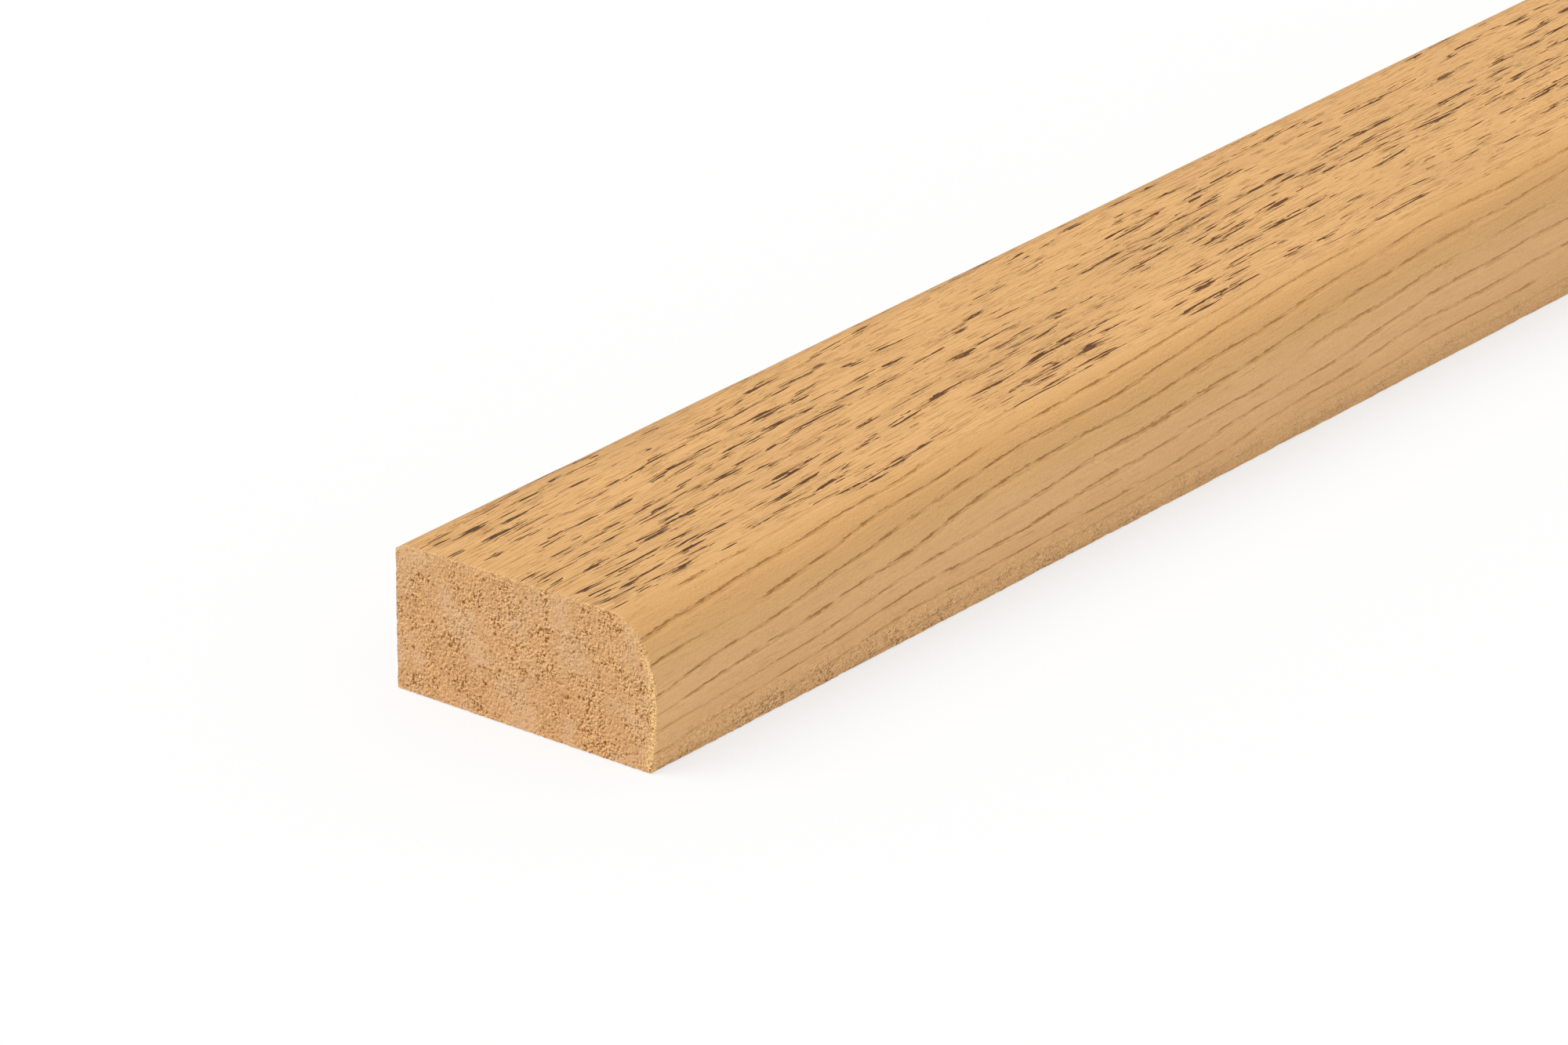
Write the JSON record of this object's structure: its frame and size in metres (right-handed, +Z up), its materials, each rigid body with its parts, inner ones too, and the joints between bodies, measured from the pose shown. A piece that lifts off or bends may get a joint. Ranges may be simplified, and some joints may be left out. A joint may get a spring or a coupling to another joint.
{
  "type": "bullnose trim",
  "caption": "Long moulded bullnose edging trim with a wood-grain face: flat back and underside, gently falling top and an elliptical rounded front nose.",
  "frame": {"origin": "centre of the underside, at mid-length and mid-width", "axes": "+X along the length, -Y towards the rounded nose, +Z up"},
  "size_m": [2.4, 0.05, 0.024],
  "materials": {
    "oak_composite": "matte"
  },
  "bodies": {
    "root": {"bullnose_trim": "oak_composite"}
  },
  "joints": []
}
